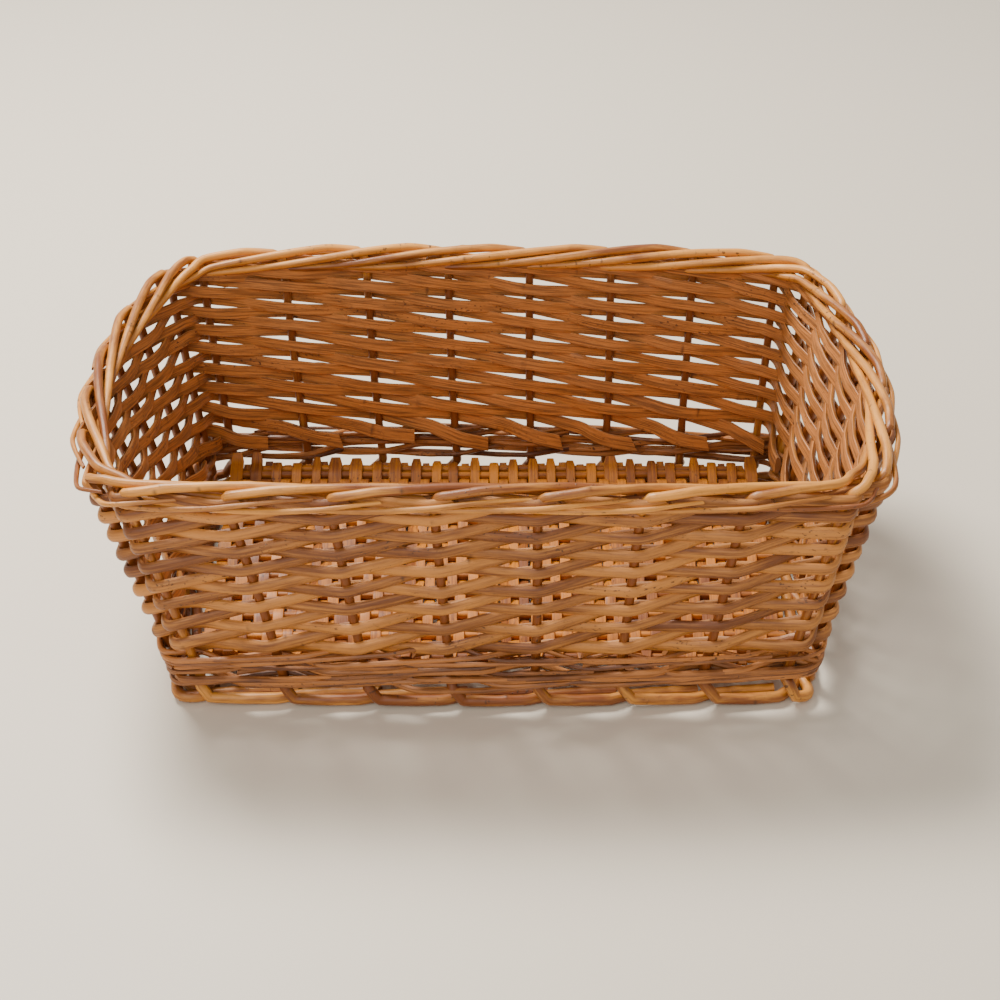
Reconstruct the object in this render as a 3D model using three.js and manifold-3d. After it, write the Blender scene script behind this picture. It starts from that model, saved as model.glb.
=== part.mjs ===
// A rectangular open bread basket woven from buff willow.
// Millimetres, +Z up, the origin on the table under the middle of the basket.
// +X runs along the basket, and its front long side faces -Y.
import * as THREE from "three";
import { mergeVertices } from "three/addons/utils/BufferGeometryUtils.js";
import Module from "manifold-3d";

const wasm = await Module();
wasm.setup();

// Plan of the walls' centre line: a rectangle whose sides bow outwards and whose corners are eased
// over a length. The corners are squarer at the foot than at the rim.
const RIM_LEVEL = 134;
const FOOT_PLAN = { halfX: 155, halfY: 94, bowX: 3, bowY: 3, ease: 6 };
const RIM_PLAN = { halfX: 172, halfY: 111.5, bowX: 19.5, bowY: 9.5, ease: 18 };

// Heights of the layers, from the table up.
const FOOT_TOP = 9.7;
const WALE_BOTTOM = 14;
const WALE_TOP = 34.2;
const WEAVE_TOP = 126.4;
const RIM_HALF_HEIGHT = 7.2;
const RIM_HALF_WIDTH = 9;
const GAP = 0.35;

// The willow: stakes stand in the walls, thin rods make the wale, split rods make the weave.
const LONG_STAKES = 8;
const SHORT_STAKES = 6;
const LONG_STAKE_STEP = 0.266;
const SHORT_STAKE_STEP = 0.36;
const LONG_CORNER_SHARE = 0.5;
const STAKE_BUTT_RADIUS = 2.4;
const STAKE_TIP_RADIUS = 2.2;
const ROD_SIDES = 8;
const WEAVE_ROWS = 8;
const WALE_ROWS = 3;
const WEAVE_GROOVE = 4;
const WEAVE_RIDGE = 5.2;
const WEAVE_WAVE = 1.2;
const WALE_GROOVE = 4.4;
const WALE_RIDGE = 6.4;
const RIM_STRANDS = 6;
const RIM_TWIST = THREE.MathUtils.degToRad(55);
const RIM_VALLEY = 0.87;

// The base: round sticks run along the basket, flat split strips cross them.
const BASE_BOTTOM = FOOT_TOP + GAP;
const BASE_TOP = 16.8;
const BASE_HALF_X = 149.5;
const BASE_HALF_Y = 89;
const BASE_CHAMFER = 14;
const BASE_STRIPS = 27;
const STRIP_RIDGE = 0.7;
const STICK_RADIUS = 2.3;
const STICK_HALF_LENGTH = 149;
const STICK_EDGE_Y = 85.6;
const STICK_PAIR_STEP = 6;
const STICK_FIELD_COUNT = 9;
const STICK_FIELD_PITCH = 17;

const X_AXIS = new THREE.Vector3(1, 0, 0);
const Y_AXIS = new THREE.Vector3(0, 1, 0);
const Z_AXIS = new THREE.Vector3(0, 0, 1);

const SIDES = [
  { name: "front", along: [1, 0], outward: [0, -1], long: true },
  { name: "right", along: [0, 1], outward: [1, 0], long: false },
  { name: "back", along: [-1, 0], outward: [0, 1], long: true },
  { name: "left", along: [0, -1], outward: [-1, 0], long: false },
];

const WILLOW = {
  stake: { color: 0xb8793c, roughness: 0.55 },
  weave: { color: 0xb37438, roughness: 0.6 },
  wale: { color: 0xa9692f, roughness: 0.6 },
  border: { color: 0xc98f4e, roughness: 0.5 },
  base: { color: 0xd09a55, roughness: 0.6 },
};

const basket = new THREE.Group();

function addPiece(name, geometry, finish) {
  const material = new THREE.MeshStandardMaterial({ ...WILLOW[finish], metalness: 0 });
  const mesh = new THREE.Mesh(geometry, material);
  mesh.name = name;
  basket.add(mesh);
}

// Place on a wall: s runs from -1 to 1 along the side, out is the distance outwards of its centre line.
function wallPoint(side, s, out, z) {
  const rise = z / RIM_LEVEL;
  const plan = (key) => THREE.MathUtils.lerp(FOOT_PLAN[key], RIM_PLAN[key], rise);
  const reach = side.long ? plan("halfX") : plan("halfY");
  const stand = side.long ? plan("halfY") : plan("halfX");
  const bow = side.long ? plan("bowY") : plan("bowX");
  const eased = Math.max(0, 1 - ((1 - Math.abs(s)) * reach) / plan("ease"));
  const ease = (eased ** 2 * plan("ease")) / 4;
  const along = Math.sign(s) * (Math.abs(s) * (reach + out) - ease);
  const away = stand + out + bow * (1 - s * s) - ease;
  return new THREE.Vector3(
    side.along[0] * along + side.outward[0] * away,
    side.along[1] * along + side.outward[1] * away,
    z,
  );
}

const stakeCount = (side) => (side.long ? LONG_STAKES : SHORT_STAKES);
const stakeStep = (side) => (side.long ? LONG_STAKE_STEP : SHORT_STAKE_STEP);
const stakePlace = (side, i) => (i - (stakeCount(side) - 1) / 2) * stakeStep(side);

// Stakes before this side, counted round the basket from the front's first one.
function stakesBefore(side) {
  return SIDES.slice(0, SIDES.indexOf(side)).reduce((sum, other) => sum + stakeCount(other), 0);
}

// The running stake number at s: whole at each stake, and the same on both sides of a corner. The
// long side has LONG_CORNER_SHARE of the space between the two stakes beside a corner.
function stakeNumber(side, s) {
  const last = stakePlace(side, stakeCount(side) - 1);
  const cornerShare = side.long ? LONG_CORNER_SHARE : 1 - LONG_CORNER_SHARE;
  const middle = (stakeCount(side) - 1) / 2;
  const inner = Math.min(Math.abs(s), last) / stakeStep(side);
  const outer = (Math.max(0, Math.abs(s) - last) / (1 - last)) * cornerShare;
  return stakesBefore(side) + middle + Math.sign(s) * (inner + outer);
}

// Stations along a side: its two ends, each stake, and the points between them if fine is true.
function stations(side, fine) {
  const end = 1 - GAP / (side.long ? RIM_PLAN.halfX : RIM_PLAN.halfY);
  const places = [-end];
  for (let i = 0; i < stakeCount(side); i += 1) {
    const s = stakePlace(side, i);
    if (fine && i > 0) places.push(s - stakeStep(side) / 2);
    places.push(s);
  }
  places.push(end);
  if (side.long) return places;
  const quarter = (end + stakePlace(side, SHORT_STAKES - 1)) / 2;
  const corner = (end + quarter) / 2;
  return [...places, -quarter, quarter, -corner, corner].sort((a, b) => a - b);
}

// A closed solid from a row of rings with equal numbers of points, capped by the cap's triangles.
function loft(rings, cap) {
  const size = rings[0].length;
  const triangles = [];
  for (let r = 0; r + 1 < rings.length; r += 1) {
    for (let i = 0; i < size; i += 1) {
      const a = r * size + i;
      const b = r * size + ((i + 1) % size);
      triangles.push([a, b, a + size], [b, b + size, a + size]);
    }
  }
  const lastRing = (rings.length - 1) * size;
  for (const [a, b, c] of cap) {
    triangles.push([a, c, b], [a + lastRing, b + lastRing, c + lastRing]);
  }
  const geometry = new THREE.BufferGeometry().setFromPoints(rings.flat());
  geometry.setIndex(triangles.flat());
  return geometry;
}

// The cap of a section given as [out, z] pairs that run counter-clockwise.
function capOf(section) {
  return THREE.ShapeUtils.triangulateShape(
    section.map(([out, z]) => new THREE.Vector2(out, z)),
    [],
  );
}

// A length of wall or border: the section at each station follows the side's plan.
function wallSolid(side, places, sectionAt) {
  const rings = places.map((s) =>
    sectionAt(stakeNumber(side, s))
      .map(([out, z]) => wallPoint(side, s, out, z))
      .reverse(),
  );
  const section = sectionAt(0).reverse().map(([out, z]) => [-out, z]);
  return loft(rings, capOf(section));
}

// A straight round rod whose end rings lie in the plane of the directions across and up.
function rodBetween(start, end, startRadius, endRadius, across, up) {
  const ring = (centre, radius) =>
    Array.from({ length: ROD_SIDES }, (_, i) => {
      const angle = ((i + 0.5) * 2 * Math.PI) / ROD_SIDES;
      return centre
        .clone()
        .addScaledVector(across, radius * Math.cos(angle))
        .addScaledVector(up, radius * Math.sin(angle));
    });
  const fan = Array.from({ length: ROD_SIDES - 2 }, (_, i) => [0, i + 1, i + 2]);
  return loft([ring(start, startRadius), ring(end, endRadius)], fan);
}

// The rod of a stake between two heights, grown by clearance all round.
function stakeRod(side, i, bottom, top, clearance) {
  const s = stakePlace(side, i);
  const radiusAt = (z) =>
    THREE.MathUtils.mapLinear(z, FOOT_TOP, WEAVE_TOP, STAKE_BUTT_RADIUS, STAKE_TIP_RADIUS) + clearance;
  return rodBetween(
    wallPoint(side, s, 0, bottom),
    wallPoint(side, s, 0, top),
    radiusAt(bottom),
    radiusAt(top),
    X_AXIS,
    Y_AXIS,
  );
}

function toManifold(geometry) {
  const merged = mergeVertices(geometry, 1e-4);
  return new wasm.Manifold(
    new wasm.Mesh({
      numProp: 3,
      vertProperties: new Float32Array(merged.attributes.position.array),
      triVerts: new Uint32Array(merged.index.array),
    }),
  );
}

function fromManifold(solid) {
  const mesh = solid.getMesh();
  return new THREE.BufferGeometry()
    .setAttribute("position", new THREE.BufferAttribute(new Float32Array(mesh.vertProperties), 3))
    .setIndex(new THREE.BufferAttribute(new Uint32Array(mesh.triVerts), 1));
}

function cutAll(geometry, cutters) {
  const cut = cutters.reduce((solid, cutter) => solid.subtract(toManifold(cutter)), toManifold(geometry));
  return fromManifold(cut);
}

// A stack of rows: each row is a ridge on both faces, and a groove parts it from the next.
// wave(row) shifts the row's two ridges outwards together.
function rowStack(bottom, top, rows, groove, ridge, wave) {
  const pitch = (top - bottom) / rows;
  const outer = [[groove, bottom]];
  const inner = [[-groove, bottom]];
  for (let row = 0; row < rows; row += 1) {
    const middle = bottom + (row + 0.5) * pitch;
    outer.push([ridge + wave(row), middle], [groove, bottom + (row + 1) * pitch]);
    inner.push([wave(row) - ridge, middle], [-groove, bottom + (row + 1) * pitch]);
  }
  return [...outer, ...inner.reverse()];
}

function weaveSection(number) {
  const wave = (row) => WEAVE_WAVE * Math.cos(Math.PI * (number - row));
  return rowStack(WALE_TOP + GAP, WEAVE_TOP, WEAVE_ROWS, WEAVE_GROOVE, WEAVE_RIDGE, wave);
}

function waleSection() {
  return rowStack(WALE_BOTTOM, WALE_TOP, WALE_ROWS, WALE_GROOVE, WALE_RIDGE, () => 0);
}

// The rim is a rope of rods: lobes that turn round the border as it runs from stake to stake.
function rimSection(number) {
  return Array.from({ length: 2 * RIM_STRANDS }, (_, i) => {
    const angle = (i * Math.PI) / RIM_STRANDS - number * RIM_TWIST;
    const reach = i % 2 ? RIM_VALLEY : 1;
    return [
      RIM_HALF_WIDTH * reach * Math.cos(angle),
      RIM_LEVEL + RIM_HALF_HEIGHT * reach * Math.sin(angle),
    ];
  });
}

// The foot is flat below, where it stands, and flat above, where the base rests on it.
function footSection() {
  return [
    [-7, 0],
    [5, 0],
    [7, 2.5],
    [7, 7],
    [5, FOOT_TOP],
    [-9, FOOT_TOP],
    [-9, 2],
  ];
}

function buildStakes() {
  for (const side of SIDES) {
    for (let i = 0; i < stakeCount(side); i += 1) {
      const number = String(stakesBefore(side) + i + 1).padStart(2, "0");
      addPiece("stake_" + number, stakeRod(side, i, BASE_BOTTOM, WEAVE_TOP, 0), "stake");
    }
  }
}

function buildWalls() {
  for (const side of SIDES) {
    const channels = Array.from({ length: stakeCount(side) }, (_, i) =>
      stakeRod(side, i, FOOT_TOP, WEAVE_TOP + FOOT_TOP, GAP),
    );
    const weave = wallSolid(side, stations(side, true), weaveSection);
    const wale = wallSolid(side, stations(side, false), waleSection);
    addPiece("side_weave_" + side.name, cutAll(weave, channels), "weave");
    addPiece("bottom_wale_" + side.name, cutAll(wale, channels), "wale");
  }
}

function buildBorders() {
  for (const side of SIDES) {
    addPiece("rim_border_" + side.name, wallSolid(side, stations(side, true), rimSection), "border");
    addPiece("foot_border_" + side.name, wallSolid(side, stations(side, false), footSection), "border");
  }
}

// A pair of sticks lies at each long edge, and the others are spread evenly between the pairs.
function stickPlaces() {
  const edge = [STICK_EDGE_Y, STICK_EDGE_Y - STICK_PAIR_STEP];
  const field = Array.from(
    { length: STICK_FIELD_COUNT },
    (_, i) => (i - (STICK_FIELD_COUNT - 1) / 2) * STICK_FIELD_PITCH,
  );
  return [...edge.map((y) => -y), ...field, ...edge.reverse()];
}

function baseStick(y, halfLength, radius) {
  const height = (BASE_BOTTOM + BASE_TOP) / 2;
  return rodBetween(
    new THREE.Vector3(-halfLength, y, height),
    new THREE.Vector3(halfLength, y, height),
    radius,
    radius,
    Y_AXIS,
    Z_AXIS,
  );
}

function baseWeave() {
  const pitch = (2 * BASE_HALF_X) / BASE_STRIPS;
  const rings = [];
  for (let i = 0; i <= 2 * BASE_STRIPS; i += 1) {
    const x = (i * pitch) / 2 - BASE_HALF_X;
    const halfWidth = BASE_HALF_Y - Math.max(0, Math.abs(x) - (BASE_HALF_X - BASE_CHAMFER));
    const dip = i % 2 ? 0 : STRIP_RIDGE;
    rings.push([
      new THREE.Vector3(x, -halfWidth, BASE_BOTTOM),
      new THREE.Vector3(x, halfWidth, BASE_BOTTOM),
      new THREE.Vector3(x, halfWidth, BASE_TOP - dip),
      new THREE.Vector3(x, -halfWidth, BASE_TOP - dip),
    ]);
  }
  return loft(rings, [
    [0, 1, 2],
    [0, 2, 3],
  ]);
}

function buildBase() {
  const places = stickPlaces();
  places.forEach((y, i) => {
    const number = String(i + 1).padStart(2, "0");
    const chamferedLength = BASE_HALF_X + BASE_HALF_Y - BASE_CHAMFER - Math.abs(y) - STICK_RADIUS;
    const halfLength = Math.min(STICK_HALF_LENGTH, chamferedLength);
    addPiece("base_stick_" + number, baseStick(y, halfLength, STICK_RADIUS), "base");
  });
  const channels = places.map((y) => baseStick(y, BASE_HALF_X + 1, STICK_RADIUS + GAP));
  addPiece("base_weave", cutAll(baseWeave(), channels), "base");
}

buildStakes();
buildWalls();
buildBorders();
buildBase();

export default basket;
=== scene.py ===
"""A rectangular bread basket woven from buff willow, rod by rod.

Lengths are millimetres until a mesh is made, and heights are above the table. u is the running
stake number: whole at each stake, counted counter-clockwise from the front's first stake. out is
the distance outside the wall's centre line, and a place on the wall is u, out and z together.
"""
import math

import bpy
import numpy as np
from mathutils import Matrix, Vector


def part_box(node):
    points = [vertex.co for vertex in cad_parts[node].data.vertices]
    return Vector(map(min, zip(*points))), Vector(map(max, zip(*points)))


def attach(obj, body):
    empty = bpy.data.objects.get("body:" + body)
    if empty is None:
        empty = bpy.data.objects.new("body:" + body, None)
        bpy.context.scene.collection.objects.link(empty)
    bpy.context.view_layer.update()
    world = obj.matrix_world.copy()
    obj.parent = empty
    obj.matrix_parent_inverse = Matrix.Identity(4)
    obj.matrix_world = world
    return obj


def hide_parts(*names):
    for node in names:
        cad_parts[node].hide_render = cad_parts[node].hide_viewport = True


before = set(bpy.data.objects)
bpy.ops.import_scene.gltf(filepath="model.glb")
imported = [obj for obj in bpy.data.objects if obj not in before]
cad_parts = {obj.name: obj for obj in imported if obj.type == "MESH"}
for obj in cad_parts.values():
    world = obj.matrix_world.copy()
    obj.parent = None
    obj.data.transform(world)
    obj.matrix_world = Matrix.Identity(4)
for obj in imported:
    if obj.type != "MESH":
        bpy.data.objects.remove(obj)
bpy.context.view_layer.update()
MM = 0.001


def box_mm(node):
    low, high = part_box(node)
    return np.array(low) / MM, np.array(high) / MM


# Stakes: eight on each long side, six on each short side, stepped by a share of the half side.
LONG_STAKES = 8
SHORT_STAKES = 6
STAKES = 2 * (LONG_STAKES + SHORT_STAKES)
LONG_STEP = 0.266
SHORT_STEP = 0.36
CORNER_SHARE = 0.5  # stake spaces from the last stake of a side to the corner
FIRST_STAKES = {
    0: "front",
    LONG_STAKES: "right",
    STAKES // 2: "back",
    STAKES // 2 + LONG_STAKES: "left",
}
SIDES = (
    # along, outward, first stake, stakes, step
    ((1, 0), (0, -1), 0, LONG_STAKES, LONG_STEP),
    ((0, 1), (1, 0), LONG_STAKES, SHORT_STAKES, SHORT_STEP),
    ((-1, 0), (0, 1), STAKES // 2, LONG_STAKES, LONG_STEP),
    ((0, -1), (-1, 0), STAKES // 2 + LONG_STAKES, SHORT_STAKES, SHORT_STEP),
)

# The plan of the walls' centre line: the frame's borders give its half sizes at mid side. A side
# bows outwards by the bow between its corners, and each corner is eased over the ease.
RIM_HALF_WIDTH = 9.0
FOOT_HALF_WIDTH = 7.0
RIM_BOW = (19.5, 9.5)
FOOT_BOW = (3.0, 3.0)
FOOT_EASE = 6.0
RIM_EASE = 18.0
RIM_LOW, RIM_HIGH = box_mm("rim_border_front")
RIM_LEVEL = (RIM_LOW[2] + RIM_HIGH[2]) / 2
RIM_REACH = (
    box_mm("rim_border_right")[1][0] - RIM_HALF_WIDTH,
    -RIM_LOW[1] - RIM_HALF_WIDTH,
)
FOOT_REACH = (
    box_mm("foot_border_right")[1][0] - FOOT_HALF_WIDTH,
    -box_mm("foot_border_front")[0][1] - FOOT_HALF_WIDTH,
)

STEP = 2.4  # between a rod's rings
PLACE_STEPS = 12  # fine steps between two places of a route
WALL_LEAN = 0.2  # how far a wall leans out as it rises


def plan(z):
    """Half sizes at the corner and bows of the centre line's plan at height z, for x and for y."""
    rise = z / RIM_LEVEL
    sizes = []
    for axis in (0, 1):
        bow = FOOT_BOW[axis] + (RIM_BOW[axis] - FOOT_BOW[axis]) * rise
        reach = FOOT_REACH[axis] + (RIM_REACH[axis] - FOOT_REACH[axis]) * rise
        sizes.append((reach - bow, bow))
    return sizes


def wall(u, out, z):
    """Points at places on the wall, before hands bend it."""
    u, out, z = np.broadcast_arrays(*(np.asarray(a, float) for a in (u, out, z)))
    turn = np.mod(u + CORNER_SHARE, STAKES) - CORNER_SHARE
    corner = FOOT_EASE + (RIM_EASE - FOOT_EASE) * z / RIM_LEVEL
    points = np.zeros(u.shape + (3,))
    points[..., 2] = z
    (half_x, bow_x), (half_y, bow_y) = plan(z)
    for along, outward, first, count, step in SIDES:
        reach, stand, bow = (half_x, half_y, bow_y) if along[0] else (half_y, half_x, bow_x)
        middle = (count - 1) / 2
        offset = turn - first - middle
        inner = np.minimum(np.abs(offset), middle) * step
        outer = np.maximum(np.abs(offset) - middle, 0) / CORNER_SHARE * (1 - middle * step)
        s = np.sign(offset) * (inner + outer)
        ease = np.maximum(0, 1 - (1 - np.abs(s)) * reach / corner) ** 2 * corner / 4
        run = np.sign(s) * (np.abs(s) * (reach + out) - ease)
        away = stand + out + bow * (1 - s * s) - ease
        here = np.abs(offset) <= middle + CORNER_SHARE
        for axis in (0, 1):
            value = along[axis] * run + outward[axis] * away
            points[..., axis] = np.where(here, value, points[..., axis])
    return points


# What the maker's hands did to the ideal shape.
RIM_SHIFT = -0.5
FOOT_SHIFT = 3.0
RIM_FLARE = 0.02
FOOT_FLARE = -0.03
RIM_CROWN = 2.5
RIM_STRETCH = 0.012
RIM_WAVE = 0.8
WAVE_LENGTHS = (41, 37)  # for one radian along x and along y
WAVE_START = 1.3
RISE_MOST = 1.1


def handmade(points):
    """Shifts, flares, stretches, crowns and waves the ideal basket a little."""
    x, y, z = points.T
    rise = np.clip(z / RIM_LEVEL, 0, RISE_MOST)
    flare = FOOT_FLARE + (RIM_FLARE - FOOT_FLARE) * rise
    shift = FOOT_SHIFT + (RIM_SHIFT - FOOT_SHIFT) * rise
    crown = RIM_CROWN * rise**2 * (1 - (x / RIM_REACH[0]) ** 2)
    along_x = np.sin(x / WAVE_LENGTHS[0] + WAVE_START * np.sign(y))
    wave = RIM_WAVE * rise * along_x * np.cos(y / WAVE_LENGTHS[1])
    widened = x * (1 + RIM_STRETCH * rise - flare * y / RIM_REACH[1])
    return np.stack([widened + shift, y, z + crown + wave], axis=1)


def resample(columns, points):
    """Columns at equal steps along the points, and the points there."""
    gaps = np.linalg.norm(np.diff(points, axis=0), axis=1)
    travel = np.concatenate([[0], np.cumsum(gaps)])
    count = max(4, int(round(travel[-1] / STEP)) + 1)
    steps = np.linspace(0, travel[-1], count)
    even = [np.interp(steps, travel, column) for column in columns]
    even_points = np.stack([np.interp(steps, travel, points[:, i]) for i in range(3)], axis=1)
    return even, even_points


def rounded(points, times):
    """Points with their bends rounded off, ends kept."""
    points = points.copy()
    for _ in range(times):
        points[1:-1] = (points[:-2] + 2 * points[1:-1] + points[2:]) / 4
    return points


def lay(u, out, z, times, lean=WALL_LEAN):
    """A rod's centre line through wall places, and its running stake number and height. Places
    outside a leaning wall lie lower, and places inside it lie higher."""
    fine = np.linspace(0, len(u) - 1, (len(u) - 1) * PLACE_STEPS + 1)
    index = np.arange(len(u))
    u, out, z = (np.interp(fine, index, np.asarray(a, float)) for a in (u, out, z))
    z = z - lean * out
    (u, z), points = resample((u, z), wall(u, out, z))
    return handmade(rounded(points, times)), u, z


OCTAVES = (1.0, 1.7, 2.9)
OCTAVE_SUM = 1.6  # the size that a sum of the octaves usually reaches


def wander(rng, count, wavelength, size):
    """A smooth random wave of about the given size, over count steps."""
    t = np.arange(count) * STEP
    total = np.zeros(count)
    for octave in OCTAVES:
        phase = rng.uniform(0, 2 * math.pi)
        total += np.sin(2 * math.pi * t * octave / wavelength + phase) / octave
    return total * size / OCTAVE_SUM


def tangents(points):
    t = np.gradient(points, axis=0)
    return t / np.linalg.norm(t, axis=1, keepdims=True)


def carried_normals(t):
    """Normals carried along the tangents without twisting, from upright at the start."""
    normals = np.zeros_like(t)
    n = np.array((0, 0, 1), float)
    for i, direction in enumerate(t):
        n = n - direction * np.dot(n, direction)
        n = n / np.linalg.norm(n)
        normals[i] = n
    return normals


def facing_normals(t, up):
    """Normals square to the tangents and to the upward directions."""
    n = np.cross(t, up)
    return n / np.linalg.norm(n, axis=1, keepdims=True)


# Sections of rods, as (across, outward).
ROUND = np.array([(math.cos(a), math.sin(a)) for a in np.arange(12) * math.pi / 6])
THIN_ROUND = np.array([(math.cos(a), math.sin(a)) for a in np.arange(8) * math.pi / 4])
DOME_ANGLES = np.radians([4, 22, 45, 68, 90, 112, 135, 158, 176])
DOME_POWER = 0.8
HALF_ROUND_EDGE = 0.35
STRIP_EDGE = 0.28
PITH_CROWN = 0.1


def half_round(width, thick):
    """A split rod's section: a domed bark side and a flat pith side."""
    w, h = width / 2, thick / 2
    outer = [(w * math.cos(a), thick * (math.sin(a) ** DOME_POWER) - h) for a in DOME_ANGLES]
    flat = [(-w + HALF_ROUND_EDGE, -h), (0, -h - PITH_CROWN), (w - HALF_ROUND_EDGE, -h)]
    return np.array(outer + flat)


def flat_strip(width, thick):
    """A flat strip's section, with broken edges."""
    w, h, e = width / 2, thick / 2, STRIP_EDGE
    top = [(w, -h + e), (w, h - e), (w - e, h), (0, h + PITH_CROWN), (e - w, h), (-w, h - e)]
    bottom = [(-w, e - h), (e - w, -h), (0, -h), (w - e, -h)]
    return np.array(top + bottom)


KNOT_SWELL = 0.16
KNOT_SPACING = 75
KNOT_LENGTH = 0.8  # in rings
KNOT_CLEAR = 3  # rings at each end without a knot


def bud_knots(count, around, rng):
    """How much each point of a rod's surface belongs to a bud's scar."""
    knots = np.zeros((count, around))
    for _ in range(int(count * STEP / KNOT_SPACING)):
        ring, side = rng.uniform(KNOT_CLEAR, count - KNOT_CLEAR), rng.uniform(0, around)
        rings = np.exp(-((np.arange(count) - ring) / KNOT_LENGTH) ** 2)
        turn = np.cos((np.arange(around) - side) * 2 * math.pi / around)
        knots += rings[:, None] * np.maximum(turn, 0)[None, :] ** 2
    return np.minimum(knots, 1)


SLANT_FADE = 2.5  # steps over which a cut end's slant fades
SHARP_EDGE = math.radians(38)


def rod_rings(points, normals, section, scale, slant):
    """The section's points round each point of the centre line, its two ends cut at a slant."""
    t = tangents(points)
    sideways = np.cross(normals, t)
    across = section[:, 0][None, :] * scale
    outward = section[:, 1][None, :] * scale
    rings = (
        points[:, None, :]
        + across[..., None] * sideways[:, None, :]
        + outward[..., None] * normals[:, None, :]
    )
    travel = np.arange(len(points)) * STEP
    for end, amount in ((travel, slant[0]), (travel[::-1], slant[1])):
        fade = np.clip(1 - end / (SLANT_FADE * STEP), 0, 1)
        rings += (fade * amount)[:, None, None] * across[..., None] * t[:, None, :]
    return rings


def rod_faces(count, around):
    """Four-sided faces ring by ring, then the two end caps."""
    start = np.arange(count - 1)[:, None] * around
    here = start + np.arange(around)[None, :]
    beside = start + (np.arange(around)[None, :] + 1) % around
    sides = np.stack([here, here + around, beside + around, beside], axis=-1)
    faces = sides.reshape(-1, 4).tolist()
    last = (count - 1) * around
    faces.append(list(range(around)))
    faces.append(list(range(last + around - 1, last - 1, -1)))
    return faces


def grain_uvs(count, section):
    """Millimetres along and around the rod at each face's corners, and zeros on its caps."""
    travel = np.arange(count) * STEP
    edges = np.linalg.norm(np.roll(section, -1, axis=0) - section, axis=1)
    perimeter = np.concatenate([[0], np.cumsum(edges)])
    a, b = np.meshgrid(travel[:-1], perimeter[:-1], indexing="ij")
    a2, b2 = np.meshgrid(travel[1:], perimeter[1:], indexing="ij")
    corners = [(a, b), (a2, b), (a2, b2), (a, b2)]
    uvs = np.stack([np.stack(c, axis=-1) for c in corners], axis=2).reshape(-1, 2)
    return np.concatenate([uvs, np.zeros((2 * len(section), 2))])


def rod(name, points, normals, section, scale, rng, shade=0.0, slant=(0.0, 0.0), pith=()):
    """One closed rod. scale and shade are a size and a painted shade for each point, slant tilts
    each cut end, and pith lists the section's edges that show the split side."""
    count, around = len(points), len(section)
    knots = bud_knots(count, around, rng)
    scale = scale[:, None] * (1 + KNOT_SWELL * knots)
    rings = rod_rings(points, normals, section, scale, slant)
    mesh = bpy.data.meshes.new(name)
    mesh.from_pydata((rings.reshape(-1, 3) * MM).tolist(), [], rod_faces(count, around))
    uvs = grain_uvs(count, section) * MM
    mesh.uv_layers.new(name="grain").data.foreach_set("uv", uvs.ravel().astype(np.float32))
    split = np.zeros((count - 1, around), np.float32)
    split[:, list(pith)] = 1
    bark = np.zeros((count - 1) * around)
    add_attribute(mesh, "pith", "FACE", np.concatenate([split.ravel(), [1, 1]]))
    add_attribute(mesh, "cut", "FACE", np.concatenate([bark, [1, 1]]))
    seed = rng.uniform(-1, 1)
    # The tone is the rod's random tone plus its painted shade.
    tone_and_painted_shade = np.repeat(np.broadcast_to(seed + shade, count), around)
    add_attribute(mesh, "seed", "POINT", np.full(count * around, seed))
    add_attribute(mesh, "tone_and_painted_shade", "POINT", tone_and_painted_shade)
    add_attribute(mesh, "knot", "POINT", knots.ravel())
    mesh.shade_smooth()
    mesh.set_sharp_from_angle(angle=SHARP_EDGE)
    return mesh


def add_attribute(mesh, name, domain, values):
    attribute = mesh.attributes.new(name, "FLOAT", domain)
    attribute.data.foreach_set("value", np.asarray(values, np.float32))


def place(name, mesh, material, nodes):
    """Adds a piece, which rides on the one body and stands for the CAD nodes."""
    mesh.materials.append(material)
    piece = bpy.data.objects.new(name, mesh)
    bpy.context.scene.collection.objects.link(piece)
    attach(piece, "root")
    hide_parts(*nodes)


# Materials.


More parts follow.
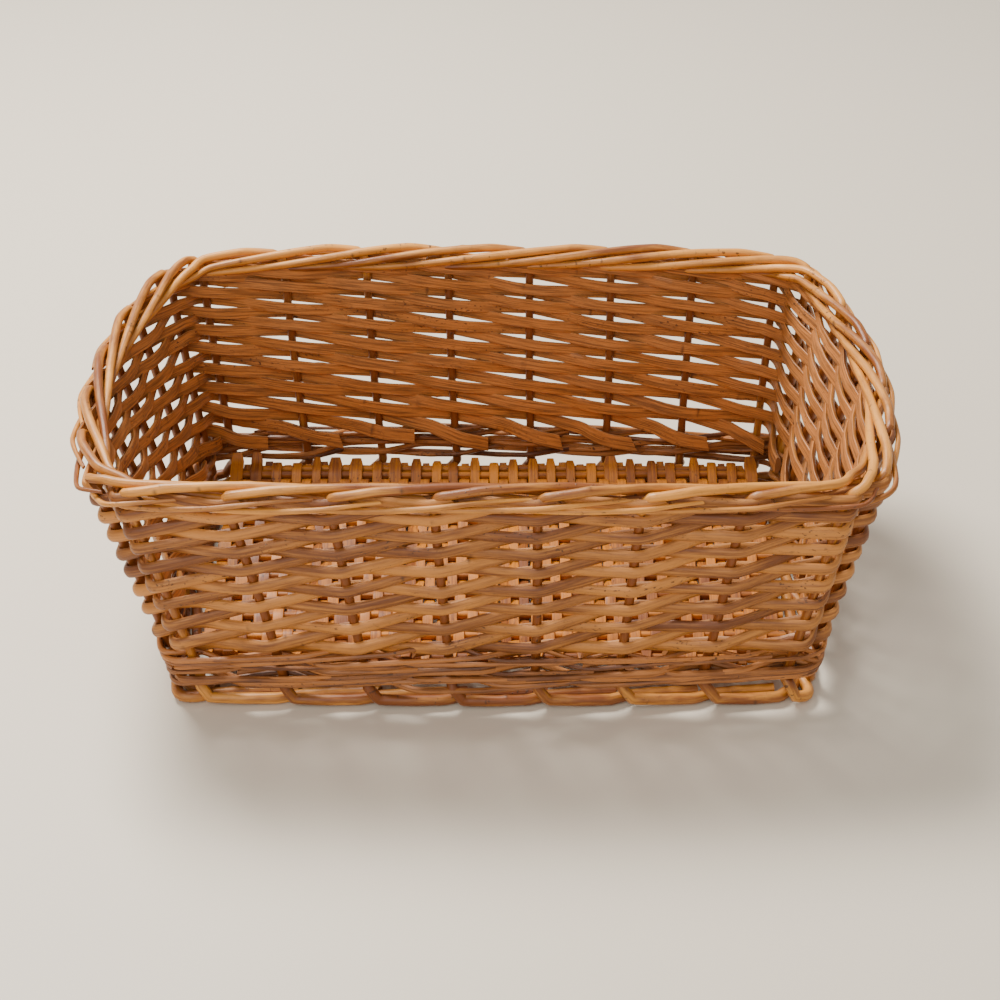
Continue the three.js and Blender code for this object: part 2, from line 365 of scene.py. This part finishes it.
class Nodes:
    """Short calls for building a material's node tree."""

    def __init__(self, name):
        self.material = bpy.data.materials.new(name)
        self.material.use_nodes = True
        self.tree = self.material.node_tree
        self.shader = self.tree.nodes["Principled BSDF"]

    def link(self, source, target):
        if isinstance(source, (int, float, tuple)):
            target.default_value = source
        else:
            self.tree.links.new(source, target)

    def make(self, kind, **settings):
        node = self.tree.nodes.new(kind)
        for key, value in settings.items():
            setattr(node, key, value)
        return node

    def set(self, node, **values):
        """Sets a node's sockets, named with _ for each space."""
        for key, value in values.items():
            node.inputs[key.replace("_", " ")].default_value = value

    def attribute(self, name):
        return self.make("ShaderNodeAttribute", attribute_name=name).outputs["Fac"]

    def math(self, operation, a, b=0.0, c=0.0):
        node = self.make("ShaderNodeMath", operation=operation)
        for source, target in zip((a, b, c), node.inputs):
            self.link(source, target)
        return node.outputs[0]

    def stretched(self, along, around, extra):
        """Grain coordinates: along and around the rod in cycles a metre, with a third of extra
        times the rod's seed."""
        uv = self.make("ShaderNodeUVMap", uv_map="grain").outputs["UV"]
        parts = self.make("ShaderNodeSeparateXYZ")
        self.link(uv, parts.inputs[0])
        joined = self.make("ShaderNodeCombineXYZ")
        self.link(self.math("MULTIPLY", parts.outputs[0], along), joined.inputs[0])
        self.link(self.math("MULTIPLY", parts.outputs[1], around), joined.inputs[1])
        self.link(self.math("MULTIPLY", self.attribute("seed"), extra), joined.inputs[2])
        return joined.outputs[0]

    def noise(self, vector, detail=3.0, roughness=0.55):
        node = self.make("ShaderNodeTexNoise")
        self.link(vector, node.inputs["Vector"])
        self.set(node, Scale=1.0, Detail=detail, Roughness=roughness)
        return node.outputs["Fac"]

    def ramp(self, value, low, high):
        node = self.make("ShaderNodeMapRange", interpolation_type="SMOOTHSTEP")
        self.link(value, node.inputs["Value"])
        self.set(node, From_Min=low, From_Max=high)
        return node.outputs["Result"]

    def mix(self, factor, a, b):
        node = self.make("ShaderNodeMix", data_type="RGBA")
        self.link(factor, node.inputs[0])
        self.link(a, node.inputs[6])
        self.link(b, node.inputs[7])
        return node.outputs[2]


def rgb(*screen):
    """A linear colour from the 0-255 values of a screen colour."""
    return tuple(((c / 255 + 0.055) / 1.055) ** 2.4 for c in screen) + (1.0,)


def darker(colour, factor):
    return tuple(c * factor for c in colour[:3]) + (1.0,)


# Grain patterns: cycles a metre along and around a rod, and how far each rod's seed shifts them.
STREAKS = (38, 850, 57)
FIBRES = (60, 2400, 31)
PATCHES = (13, 60, 83)
AGEING = (20, 120, 19)
SPOTS = (420, 700, 71)
SPOT_CLUSTERS = (9, 40, 47)
AGED = rgb(120, 72, 26)
SPECK = rgb(58, 34, 20)
CUT_END = rgb(84, 50, 28)
# How far the tone, each rod's random tone plus the stakes' painted shade, shifts the bark from
# dark to light.
TONE_AND_PAINTED_SHADE_RANGE = 0.085
SPLIT_SHADOW = 0.36


def willow(name, dark, light, split, roughness):
    """Buff willow: bark side from dark to light, its split side, and the least roughness of its
    lacquer."""
    n = Nodes(name)
    tone_and_painted_shade = n.attribute("tone_and_painted_shade")
    streak = n.noise(n.stretched(*STREAKS), detail=5, roughness=0.65)
    fibre = n.noise(n.stretched(*FIBRES), detail=3)
    patch = n.noise(n.stretched(*PATCHES), detail=4, roughness=0.6)
    shade = n.math("MULTIPLY_ADD", streak, 0.55, n.math("MULTIPLY", patch, 0.65))
    # Here the random tone and the stakes' painted shade darken or lighten the bark.
    shade = n.math("MULTIPLY_ADD", tone_and_painted_shade, TONE_AND_PAINTED_SHADE_RANGE, shade)
    bark = n.mix(n.ramp(shade, 0.43, 0.76), dark, light)
    aged = n.ramp(n.noise(n.stretched(*AGEING), detail=5), 0.56, 0.7)
    bark = n.mix(n.math("MULTIPLY", aged, 0.18), bark, AGED)
    lines = n.math("MULTIPLY_ADD", fibre, 0.5, n.math("MULTIPLY", streak, 0.6))
    pith = n.mix(n.ramp(lines, 0.42, 0.66), darker(split, SPLIT_SHADOW), split)
    colour = n.mix(n.attribute("pith"), bark, pith)
    cluster = n.ramp(n.noise(n.stretched(*SPOT_CLUSTERS), detail=2), 0.5, 0.62)
    spot = n.ramp(n.noise(n.stretched(*SPOTS), detail=2), 0.61, 0.68)
    specks = n.math("MULTIPLY", spot, n.math("MULTIPLY_ADD", cluster, 0.85, 0.15))
    specks = n.math("MAXIMUM", specks, n.ramp(n.attribute("knot"), 0.4, 1.1))
    colour = n.mix(n.math("MULTIPLY", specks, 0.8), colour, SPECK)
    colour = n.mix(n.math("MULTIPLY", n.attribute("cut"), 0.6), colour, CUT_END)
    n.link(colour, n.shader.inputs["Base Color"])
    rough = n.math("MULTIPLY_ADD", streak, 0.25, roughness)
    rough = n.math("MULTIPLY_ADD", n.attribute("pith"), 0.14, rough)
    n.link(rough, n.shader.inputs["Roughness"])
    height = n.math("MULTIPLY_ADD", fibre, 0.6, streak)
    height = n.math("MULTIPLY_ADD", specks, -0.4, height)
    bump = n.make("ShaderNodeBump")
    n.set(bump, Strength=0.7, Distance=0.0005)
    n.link(height, bump.inputs["Height"])
    n.link(bump.outputs["Normal"], n.shader.inputs["Normal"])
    n.set(n.shader, Specular_IOR_Level=0.4, Coat_Weight=0.15, Coat_Roughness=0.28)
    return n.material


BORDER_WILLOW = willow(
    "border_willow", rgb(124, 64, 18), rgb(220, 148, 60), rgb(196, 132, 62), 0.32
)
WEAVE_WILLOW = willow("weave_willow", rgb(110, 58, 20), rgb(196, 128, 56), rgb(200, 126, 58), 0.4)
WALE_WILLOW = willow("wale_willow", rgb(92, 48, 18), rgb(186, 116, 54), rgb(166, 102, 48), 0.38)
BASE_WILLOW = willow("base_willow", rgb(118, 60, 8), rgb(198, 119, 16), rgb(184, 107, 13), 0.5)


# Stakes: one rod each, from the foot border up through the wall and round in the rim border.
STAKE_BUTT = 2.9
STAKE_TOP = 2.3
STAKE_TIP = 0.9
STAKE_TAPER = (
    # share of the rod's length, radius
    (0, STAKE_BUTT),
    (0.17, STAKE_BUTT),
    (0.25, STAKE_TOP),
    (0.6, STAKE_TOP),
    (0.94, 1.4 * STAKE_TIP),
    (1, STAKE_TIP),
)
# Wall places, with u counted from the stake.
FOOT_RUN = ((2.1, -3.6, 3.2), (1.5, -2.6, 3.2), (1.14, -0.6, 3.2), (0.9, 2.9, 3.5))
FOOT_ELBOW = ((0.5, 4.2, 4.2), (0.14, 4.4, 4.8))
FOOT_TOP = (0.01, 2.2, 12.4)
UPRIGHT_LOW = 14.5
UPRIGHT_MIDDLE = 60
KINK_BELOW = 9  # the upright ends this far below the rim's level
KINK_DEPTH = 1.5  # and its strand bends here, KINK_OUT outside the wall
KINK_OUT = 0.4
RIM_TURN = 57.0  # degrees that a strand turns round the rim for each stake space
RIM_START = 62.0  # degrees, from straight out
RIM_SPACES = 6.0  # stake spaces that a strand runs on, and where and how often it has a place
RIM_FIRST = 0.06
RIM_STEP = 0.07
RIM_WOBBLE = 4.0
RIM_SWELL = 0.06
# A strand starts and ends inside the border, tucked in by a share of the border's radius.
KINK_TUCK = 0.55
KINK_SPACES = 0.45
TIP_TUCK = 0.75
TIP_FROM = 5.0
TIP_SPACES = 0.9
RIM_RADIUS = (RIM_HALF_WIDTH - STAKE_TOP, (RIM_HIGH[2] - RIM_LOW[2]) / 2 - STAKE_TOP)
UPRIGHT_PAINTED_SHADE = 2.2  # painted shade: how much darker a stake's colour is drawn between the borders, where it stands in the shade of the weavers
FOOT_PAINTED_SHADE = 0.5  # and the painted shade on its foot, as a share of that


def stake_route(i, rng):
    """Wall places of stake i: foot run, elbow, upright, kink and its turns round the rim."""
    lean = rng.uniform(-0.02, 0.02)
    low = rng.uniform(-0.3, 0.3)
    foot = [(i + spaces, out, z) for spaces, out, z in FOOT_RUN]
    foot[0] = (foot[0][0] + rng.uniform(-0.1, 0.12),) + foot[0][1:]
    foot += [(i + spaces, out, z + low) for spaces, out, z in FOOT_ELBOW]
    foot.append((i + FOOT_TOP[0],) + FOOT_TOP[1:])
    upright = [
        (i, 0.0, UPRIGHT_LOW),
        (i + lean, 0.0, UPRIGHT_MIDDLE),
        (i, 0.0, RIM_LEVEL - KINK_BELOW),
        (i, KINK_OUT, RIM_LEVEL - KINK_DEPTH),
    ]
    spaces = np.arange(RIM_FIRST, RIM_SPACES + rng.uniform(-0.5, 0.0), RIM_STEP)
    wobble = RIM_WOBBLE * np.sin(spaces * 1.3 + i * 2.4)
    angle = np.radians(RIM_START + RIM_TURN * spaces + wobble)
    kink = KINK_TUCK * np.clip(1 - spaces / KINK_SPACES, 0, 1)
    tip = TIP_TUCK * np.clip(spaces - TIP_FROM, 0, TIP_SPACES) / TIP_SPACES
    swell = 1 + RIM_SWELL * np.sin(spaces * 2.1 + i * 1.7) - (kink + tip)
    out = RIM_RADIUS[0] * swell * np.cos(angle)
    z = RIM_LEVEL + RIM_RADIUS[1] * swell * np.sin(angle)
    return np.concatenate([foot, upright, np.stack([i + spaces, out, z], axis=1)])


def build_stakes():
    taper_at, taper = np.array(STAKE_TAPER).T
    for i in range(STAKES):
        rng = np.random.default_rng(100 + i)
        u, out, z = stake_route(i, rng).T
        points, _, _ = lay(u, out, z, 0, lean=0)
        radius = np.interp(np.linspace(0, 1, len(points)), taper_at, taper)
        radius = radius * (1 + wander(rng, len(points), 60, 0.03))
        normals = carried_normals(tangents(points))
        slant = (rng.uniform(-0.6, 0.6), rng.uniform(0.5, 1.2))
        # Painted shade: the stake's colour is drawn darker between the borders and a little darker
        # on its foot, for the shade that falls there; its turns round the rim keep their colour.
        heights = [9, 14, RIM_LEVEL - 10, RIM_LEVEL - 5]
        shade = -UPRIGHT_PAINTED_SHADE * np.interp(points[:, 2], heights, [FOOT_PAINTED_SHADE, 1, 1, 0])
        name = f"stake_rod_{i + 1:02d}"
        mesh = rod(name, points, normals, ROUND, radius, rng, shade, slant)
        nodes = [f"stake_{i + 1:02d}"]
        if i in FIRST_STAKES:
            nodes += ["rim_border_" + FIRST_STAKES[i], "foot_border_" + FIRST_STAKES[i]]
        place(name, mesh, BORDER_WILLOW, nodes)


# Side weave: a split rod starts inside beside each stake and climbs half a row per stake space.
WEAVER_WIDTH = 6.8
WEAVER_THICK = 3.0
WEAVER_SPACES = 17
WEAVER_OUT = 4.0
WEAVER_FLATTENS = 0.82  # stake spaces over which a weaver crosses the wall
WEAVER_SIZES = ((0, 1.22), (20, 1.2), (90, 1.0))  # size by travel from the butt
WEAVER_TIP_SIZE = 0.95
WEAVE_START = 34.5
WEAVE_RISE = 6.93
WEAVE_SLOWING = 0.065
BUTT_SPACES = 0.42
BUTT_END = 0.3  # where the butt's slope ends, in stake spaces
BUTT_IN = 2.6
BUTT_DROP = (2.0, 8.0)


def weave_height(j):
    return WEAVE_START + WEAVE_RISE * j - WEAVE_SLOWING * j * j


def weaver_route(k, rng):
    """Wall places of weaver k, straight from outside each odd stake to inside each even one. Its
    butt slopes down inside the wale."""
    t = np.arange(-BUTT_SPACES, WEAVER_SPACES + 0.25, 1 / 25)
    distance = np.abs(np.mod(t, 2) - 1)
    out = WEAVER_OUT * (1 - 2 * np.minimum(distance / WEAVER_FLATTENS, 1))
    butt = np.clip((BUTT_END - t) / (BUTT_SPACES + BUTT_END), 0, 1)
    out = out - BUTT_IN * butt
    drop = rng.uniform(*BUTT_DROP) * butt
    knots = np.arange(-1, WEAVER_SPACES + 2)
    lift = np.interp(t, knots, rng.normal(0, 0.6, len(knots)))
    return k + t, out, weave_height(np.maximum(t, 0)) - drop + lift


def build_weave():
    section = half_round(WEAVER_WIDTH, WEAVER_THICK)
    flat_edges = range(len(DOME_ANGLES) - 1, len(section))
    size_at, sizes = zip(*WEAVER_SIZES)
    for k in range(STAKES):
        rng = np.random.default_rng(300 + k)
        points, u, z = lay(*weaver_route(k, rng), 1)
        up = wall(u, 0, z + 1) - wall(u, 0, z)
        normals = facing_normals(tangents(points), up)
        twist = wander(rng, len(points), 130, 0.12)
        sideways = np.cross(normals, tangents(points))
        normals = normals * np.cos(twist)[:, None] + sideways * np.sin(twist)[:, None]
        scale = 1 + wander(rng, len(points), 150, 0.05) + rng.uniform(-0.06, 0.06)
        travel = np.arange(len(points)) * STEP
        scale = scale * np.interp(travel, size_at + (travel[-1],), sizes + (WEAVER_TIP_SIZE,))
        slant = (rng.uniform(0.1, 0.9), rng.uniform(-1.0, -0.4))
        name = f"weaver_{k + 1:02d}"
        mesh = rod(name, points, normals, section, scale, rng, 0.0, slant, flat_edges)
        nodes = ["side_weave_" + FIRST_STAKES[k]] if k in FIRST_STAKES else []
        place(name, mesh, WEAVE_WILLOW, nodes)


# Bottom wale: sets of three thin rods, each outside two stakes and inside the third.
WALE_RADIUS = 1.45
WALE_TAPER = (1.25, 0.7)
WALE_ROUNDS = 4
WALE_LOW = 16.6
WALE_LAYER = 4.2
WALE_OUT = 4.0
WALE_LIFT = 2.2
WALE_SPACES = STAKES // 2
WALE_DRIFT = 4.8
WALE_DRIFT_PLACES = 7
WALE_BUTT = 0.45  # stake spaces before a rod's first stake
WALE_TIP = 0.7  # and past its last


def wale_rod(name, start, strand, turn, rng):
    """A wale rod of the given strand of three, from stake start on, in the given round."""
    t = np.arange(-WALE_BUTT, WALE_SPACES + WALE_TIP, 1 / 12)
    stake = start + t
    phase = np.mod(stake - strand, 3)
    out = np.interp(phase, [0, 0.6, 2.4, 3], [-1, 1, 1, -1]) * WALE_OUT
    weave = np.interp(phase, [0, 0.5, 2.5, 3], [0.2, -WALE_LIFT, WALE_LIFT, 0.2])
    z = WALE_LOW + WALE_LAYER * (turn + (stake - 3 * turn) / STAKES) + weave
    knots = np.linspace(-1, WALE_SPACES + 1, WALE_DRIFT_PLACES)
    z = z + np.interp(t, knots, rng.uniform(-WALE_DRIFT, WALE_DRIFT, len(knots)))
    points, _, _ = lay(stake, out, z, 3)
    radius = WALE_RADIUS * np.linspace(*WALE_TAPER, len(points))
    radius = radius * (1 + wander(rng, len(points), 70, 0.06))
    slant = (rng.uniform(0.5, 1.4), rng.uniform(-1.4, -0.5))
    normals = carried_normals(tangents(points))
    return rod(name, points, normals, THIN_ROUND, radius, rng, 0.0, slant)


def build_wale():
    number = 0
    for turn in range(WALE_ROUNDS):
        side = list(FIRST_STAKES.values())[turn]
        for strand in range(3):
            for half in range(2):
                number += 1
                rng = np.random.default_rng(500 + number)
                start = 3 * (turn - 1) + strand + WALE_SPACES * half
                name = f"wale_rod_{number:02d}"
                mesh = wale_rod(name, start, strand, turn, rng)
                first = strand == 0 and half == 0
                nodes = ["bottom_wale_" + side] if first else []
                place(name, mesh, WALE_WILLOW, nodes)


# Base: round sticks along the basket, flat strips across them.
STICK_NODES = sorted(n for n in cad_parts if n.startswith("base_stick_"))
STICK_SWELL = 1.06
FIRST_LOW, FIRST_HIGH = box_mm(STICK_NODES[0])
STICK_RADIUS = (FIRST_HIGH[2] - FIRST_LOW[2]) / 2
BASE_LOW, BASE_HIGH = box_mm("base_weave")
BASE_LIFT = 4.0
STRIP_PITCH = 5.55
STRIP_THICK = 1.7
STRIP_TOP_EDGES = (5, 6, 7, 8)
TALL_CHANCE = 0.14
TALL_WIDTH = 1.3
STRIP_END = 0.7  # a strip's size at its very ends
PAIR_CLEAR = 1.2


def build_sticks():
    for number, node in enumerate(STICK_NODES, 1):
        rng = np.random.default_rng(700 + number)
        low, high = box_mm(node)
        y, z = (low[1] + high[1]) / 2, (low[2] + high[2]) / 2 + BASE_LIFT
        start, end = low[0] + rng.uniform(-1.5, 1.5), high[0] + rng.uniform(-1.5, 1.5)
        count = int((end - start) / STEP)
        x = np.linspace(start, end, count)
        y = y + wander(rng, count, 260, 0.6)
        z = z + wander(rng, count, 200, 0.25)
        points = np.stack([x, y, z], axis=1)
        radius = (high[2] - low[2]) / 2 * (STICK_SWELL + wander(rng, count, 80, 0.03))
        normals = carried_normals(tangents(points))
        slant = (rng.uniform(-0.8, 0.8), rng.uniform(-0.8, 0.8))
        name = f"base_rod_{number:02d}"
        mesh = rod(name, handmade(points), normals, ROUND, radius, rng, 0.0, slant)
        place(name, mesh, BASE_WILLOW, [node])


def stick_lines():
    """The middles of the sticks that a strip crosses, as y and half the width of the pair that
    lies at each edge."""
    middles = sorted((box_mm(n)[0][1] + box_mm(n)[1][1]) / 2 for n in STICK_NODES)
    edges = [((a + b) / 2, abs(a - b) / 2) for a, b in (middles[:2], middles[-2:])]
    return edges[:1] + [(y, 0.0) for y in middles[2:-2]] + edges[1:]


def strip_route(x, over_first, rng, level, tall):
    """A strip's centre line from the front edge to the back, over and under the sticks."""
    lift = STICK_RADIUS + STRIP_THICK / 2
    lines = stick_lines()
    route = []
    for j, (y, half) in enumerate(lines):
        side = 1 if (j % 2 == 0) == over_first else -1
        for part in (-half - PAIR_CLEAR, half + PAIR_CLEAR):
            route.append((y + part, level + side * lift))
    edge = lines[-1][0] + lines[-1][1] + STICK_RADIUS + PAIR_CLEAR
    if over_first:
        side, end = 1, level + rng.uniform(-1.5, 5.0)
    else:
        side, end = -1, level + rng.uniform(-1.0, 2.5)
    if tall:
        end += rng.uniform(3.5, 6.0)
    tail = [(edge - 1.5, level + side * (lift + 0.4)), (edge + 1.2, end)]
    route = [(-y, z) for y, z in tail[::-1]] + route + tail
    y, z = np.array(route).T
    drift = rng.uniform(-1.2, 1.2)
    fine = np.linspace(0, len(y) - 1, len(y) * 8)
    y = np.interp(fine, np.arange(len(y)), y)
    z = np.interp(fine, np.arange(len(z)), z)
    points = np.stack([x + drift * y / edge, y, z], axis=1)
    _, points = resample((), points)
    return rounded(points, 2)


def build_strips():
    rng = np.random.default_rng(900)
    level = (BASE_LOW[2] + BASE_HIGH[2]) / 2 + BASE_LIFT
    count = int((BASE_HIGH[0] - BASE_LOW[0]) / STRIP_PITCH)
    meshes = []
    for i in range(count):
        x = (i - (count - 1) / 2) * STRIP_PITCH + rng.uniform(-0.7, 0.7)
        over_first = i % 2 == 0
        tall = over_first and rng.random() < TALL_CHANCE
        points = strip_route(x, over_first, rng, level, tall)
        width = STRIP_PITCH * rng.uniform(0.92, 1.06) * (TALL_WIDTH if tall else 1)
        normals = facing_normals(tangents(points), (-1.0, 0.0, 0.0))
        steps = np.arange(len(points))
        scale = 1 + wander(rng, len(points), 120, 0.03)
        scale = scale * np.interp(steps, [0, 2], [STRIP_END, 1])
        scale = scale * np.interp(steps[::-1], [0, 2], [STRIP_END, 1])
        section = flat_strip(width, STRIP_THICK)
        points = handmade(points)
        name = f"strip_{i}"
        mesh = rod(name, points, normals, section, scale, rng, pith=STRIP_TOP_EDGES)
        meshes.append(mesh)
    joined = join_meshes("base_strips", meshes)
    place("base_strips", joined, BASE_WILLOW, ["base_weave"])


def join_meshes(name, meshes):
    objects = [bpy.data.objects.new(m.name, m) for m in meshes]
    for o in objects:
        bpy.context.scene.collection.objects.link(o)
    with bpy.context.temp_override(active_object=objects[0], selected_editable_objects=objects):
        bpy.ops.object.join()
    mesh = objects[0].data
    bpy.data.objects.remove(objects[0])
    mesh.name = name
    return mesh


# The stage, in metres: a pale floor, a key light behind the basket on the left, a fill light in
# front, and a pale surround.
FLOOR_HALF = 4.0
FLOOR_COLOUR = rgb(219, 208, 190)
LIGHTS = (
    # name, place, size, power
    ("key", (-0.55, 0.6, 1.4), 0.6, 54),
    ("fill", (-0.5, -1.4, 1.1), 1.2, 14),
)
LIGHT_COLOUR = (1.0, 0.97, 0.92)
LIGHT_AIM = (0, 0, 0.05)
WORLD_COLOUR = (1.0, 0.98, 0.95, 1.0)
WORLD_STRENGTH = 0.6


def floor_material():
    n = Nodes("floor_paint")
    dust = n.noise(n.make("ShaderNodeTexCoord").outputs["Object"], detail=2)
    colour = n.mix(dust, FLOOR_COLOUR, darker(FLOOR_COLOUR, 0.97))
    n.link(colour, n.shader.inputs["Base Color"])
    n.set(n.shader, Roughness=0.55)
    return n.material


def build_stage():
    half = FLOOR_HALF
    mesh = bpy.data.meshes.new("floor")
    corners = [(-half, -half, 0), (half, -half, 0), (half, half, 0), (-half, half, 0)]
    mesh.from_pydata(corners, [], [(0, 1, 2, 3)])
    mesh.materials.append(floor_material())
    floor = bpy.data.objects.new("floor", mesh)
    bpy.context.scene.collection.objects.link(floor)
    for light in LIGHTS:
        add_light(*light)
    world = bpy.data.worlds.new("studio")
    world.use_nodes = True
    background = world.node_tree.nodes["Background"]
    background.inputs["Color"].default_value = WORLD_COLOUR
    background.inputs["Strength"].default_value = WORLD_STRENGTH
    bpy.context.scene.world = world


def add_light(name, place_at, size, power):
    light = bpy.data.lights.new(name, "AREA")
    light.size = size
    light.energy = power
    light.color = LIGHT_COLOUR
    lamp = bpy.data.objects.new(name, light)
    lamp.location = place_at
    aim = Vector(LIGHT_AIM) - lamp.location
    lamp.rotation_euler = aim.to_track_quat("-Z", "Y").to_euler()
    bpy.context.scene.collection.objects.link(lamp)


# The camera stands in front of the basket and looks down into it.
CAMERA_AT = (0.0060, -0.826, 0.618)
CAMERA_PITCH = 34.3
CAMERA_LENS = 68.4
CAMERA_SENSOR = 36


def build_camera():
    camera = bpy.data.cameras.new("camera")
    camera.lens = CAMERA_LENS
    camera.sensor_width = CAMERA_SENSOR
    eye = bpy.data.objects.new("camera", camera)
    eye.location = CAMERA_AT
    eye.rotation_euler = (math.radians(90 - CAMERA_PITCH), 0, 0)
    bpy.context.scene.collection.objects.link(eye)
    bpy.context.scene.camera = eye


build_stakes()
build_weave()
build_wale()
build_sticks()
build_strips()
build_stage()
build_camera()
